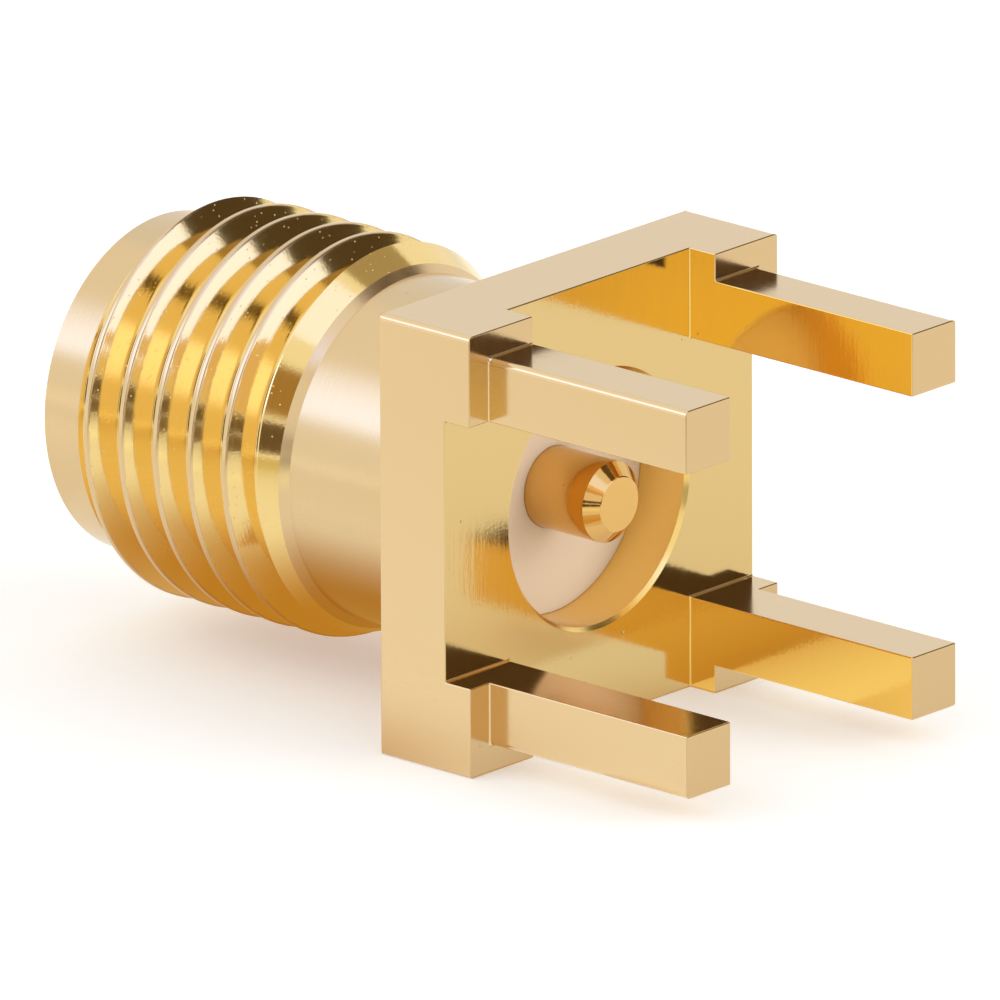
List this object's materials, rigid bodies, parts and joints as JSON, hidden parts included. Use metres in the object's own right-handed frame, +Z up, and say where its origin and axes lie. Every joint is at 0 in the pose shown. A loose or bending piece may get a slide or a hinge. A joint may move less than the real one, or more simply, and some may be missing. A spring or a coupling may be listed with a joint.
{
  "type": "sma connector",
  "caption": "Threaded coaxial jack for a circuit board: gold-plated barrel with a square flange and solder legs, white insulator and slotted socket contact.",
  "frame": {"origin": "on the barrel's axis, in the board plane where the four corner pads rest on the board", "axes": "+X along the barrel's axis from the mating end towards the tips of the legs, +Z up, square to a side of the flange"},
  "size_m": [0.0135, 0.007, 0.007],
  "materials": {
    "gold_plated_brass": "satin gold plating over turned and milled brass",
    "ptfe": "machined white fluoropolymer",
    "gold_plated_copper": "bright gold plating over beryllium copper"
  },
  "bodies": {
    "root": {"body": "gold_plated_brass", "insulator": "ptfe", "center_contact": "gold_plated_copper"}
  },
  "joints": []
}
